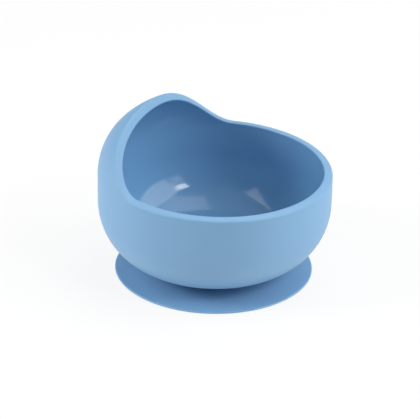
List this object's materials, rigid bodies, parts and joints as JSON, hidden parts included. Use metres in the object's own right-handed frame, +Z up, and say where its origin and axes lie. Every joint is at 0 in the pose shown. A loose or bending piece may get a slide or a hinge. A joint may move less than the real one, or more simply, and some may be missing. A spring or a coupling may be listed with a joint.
{
  "type": "suction bowl",
  "caption": "Round silicone baby bowl with a curled hood and a low spoon side, pushed onto a suction base that grips the table.",
  "frame": {"origin": "on the table, on the axis that the bowl and its base are turned about", "axes": "+Z up, +Y towards the hood, -Y towards the low side of the rim, +X to the right seen from the low side"},
  "size_m": [0.12, 0.12, 0.0845],
  "materials": {
    "bowl_silicone": "satin moulded silicone, smoother inside",
    "base_silicone": "satin moulded silicone"
  },
  "bodies": {
    "skirt": {"suction_skirt": "base_silicone"},
    "hub": {"base_hub": "base_silicone"},
    "bowl": {"bowl": "bowl_silicone"}
  },
  "joints": [
    {"name": "base_press", "type": "slide", "parent": "skirt", "child": "hub", "axis": [0, 0, -1], "range_m": [0, 0.002], "stiffness_N_per_m": 1000, "springref_m": -0.002, "deforming": ["suction_skirt"]},
    {"name": "bowl_lift", "type": "slide", "parent": "hub", "child": "bowl", "axis": [0, 0, 1], "range_m": [0, 0.04]}
  ]
}
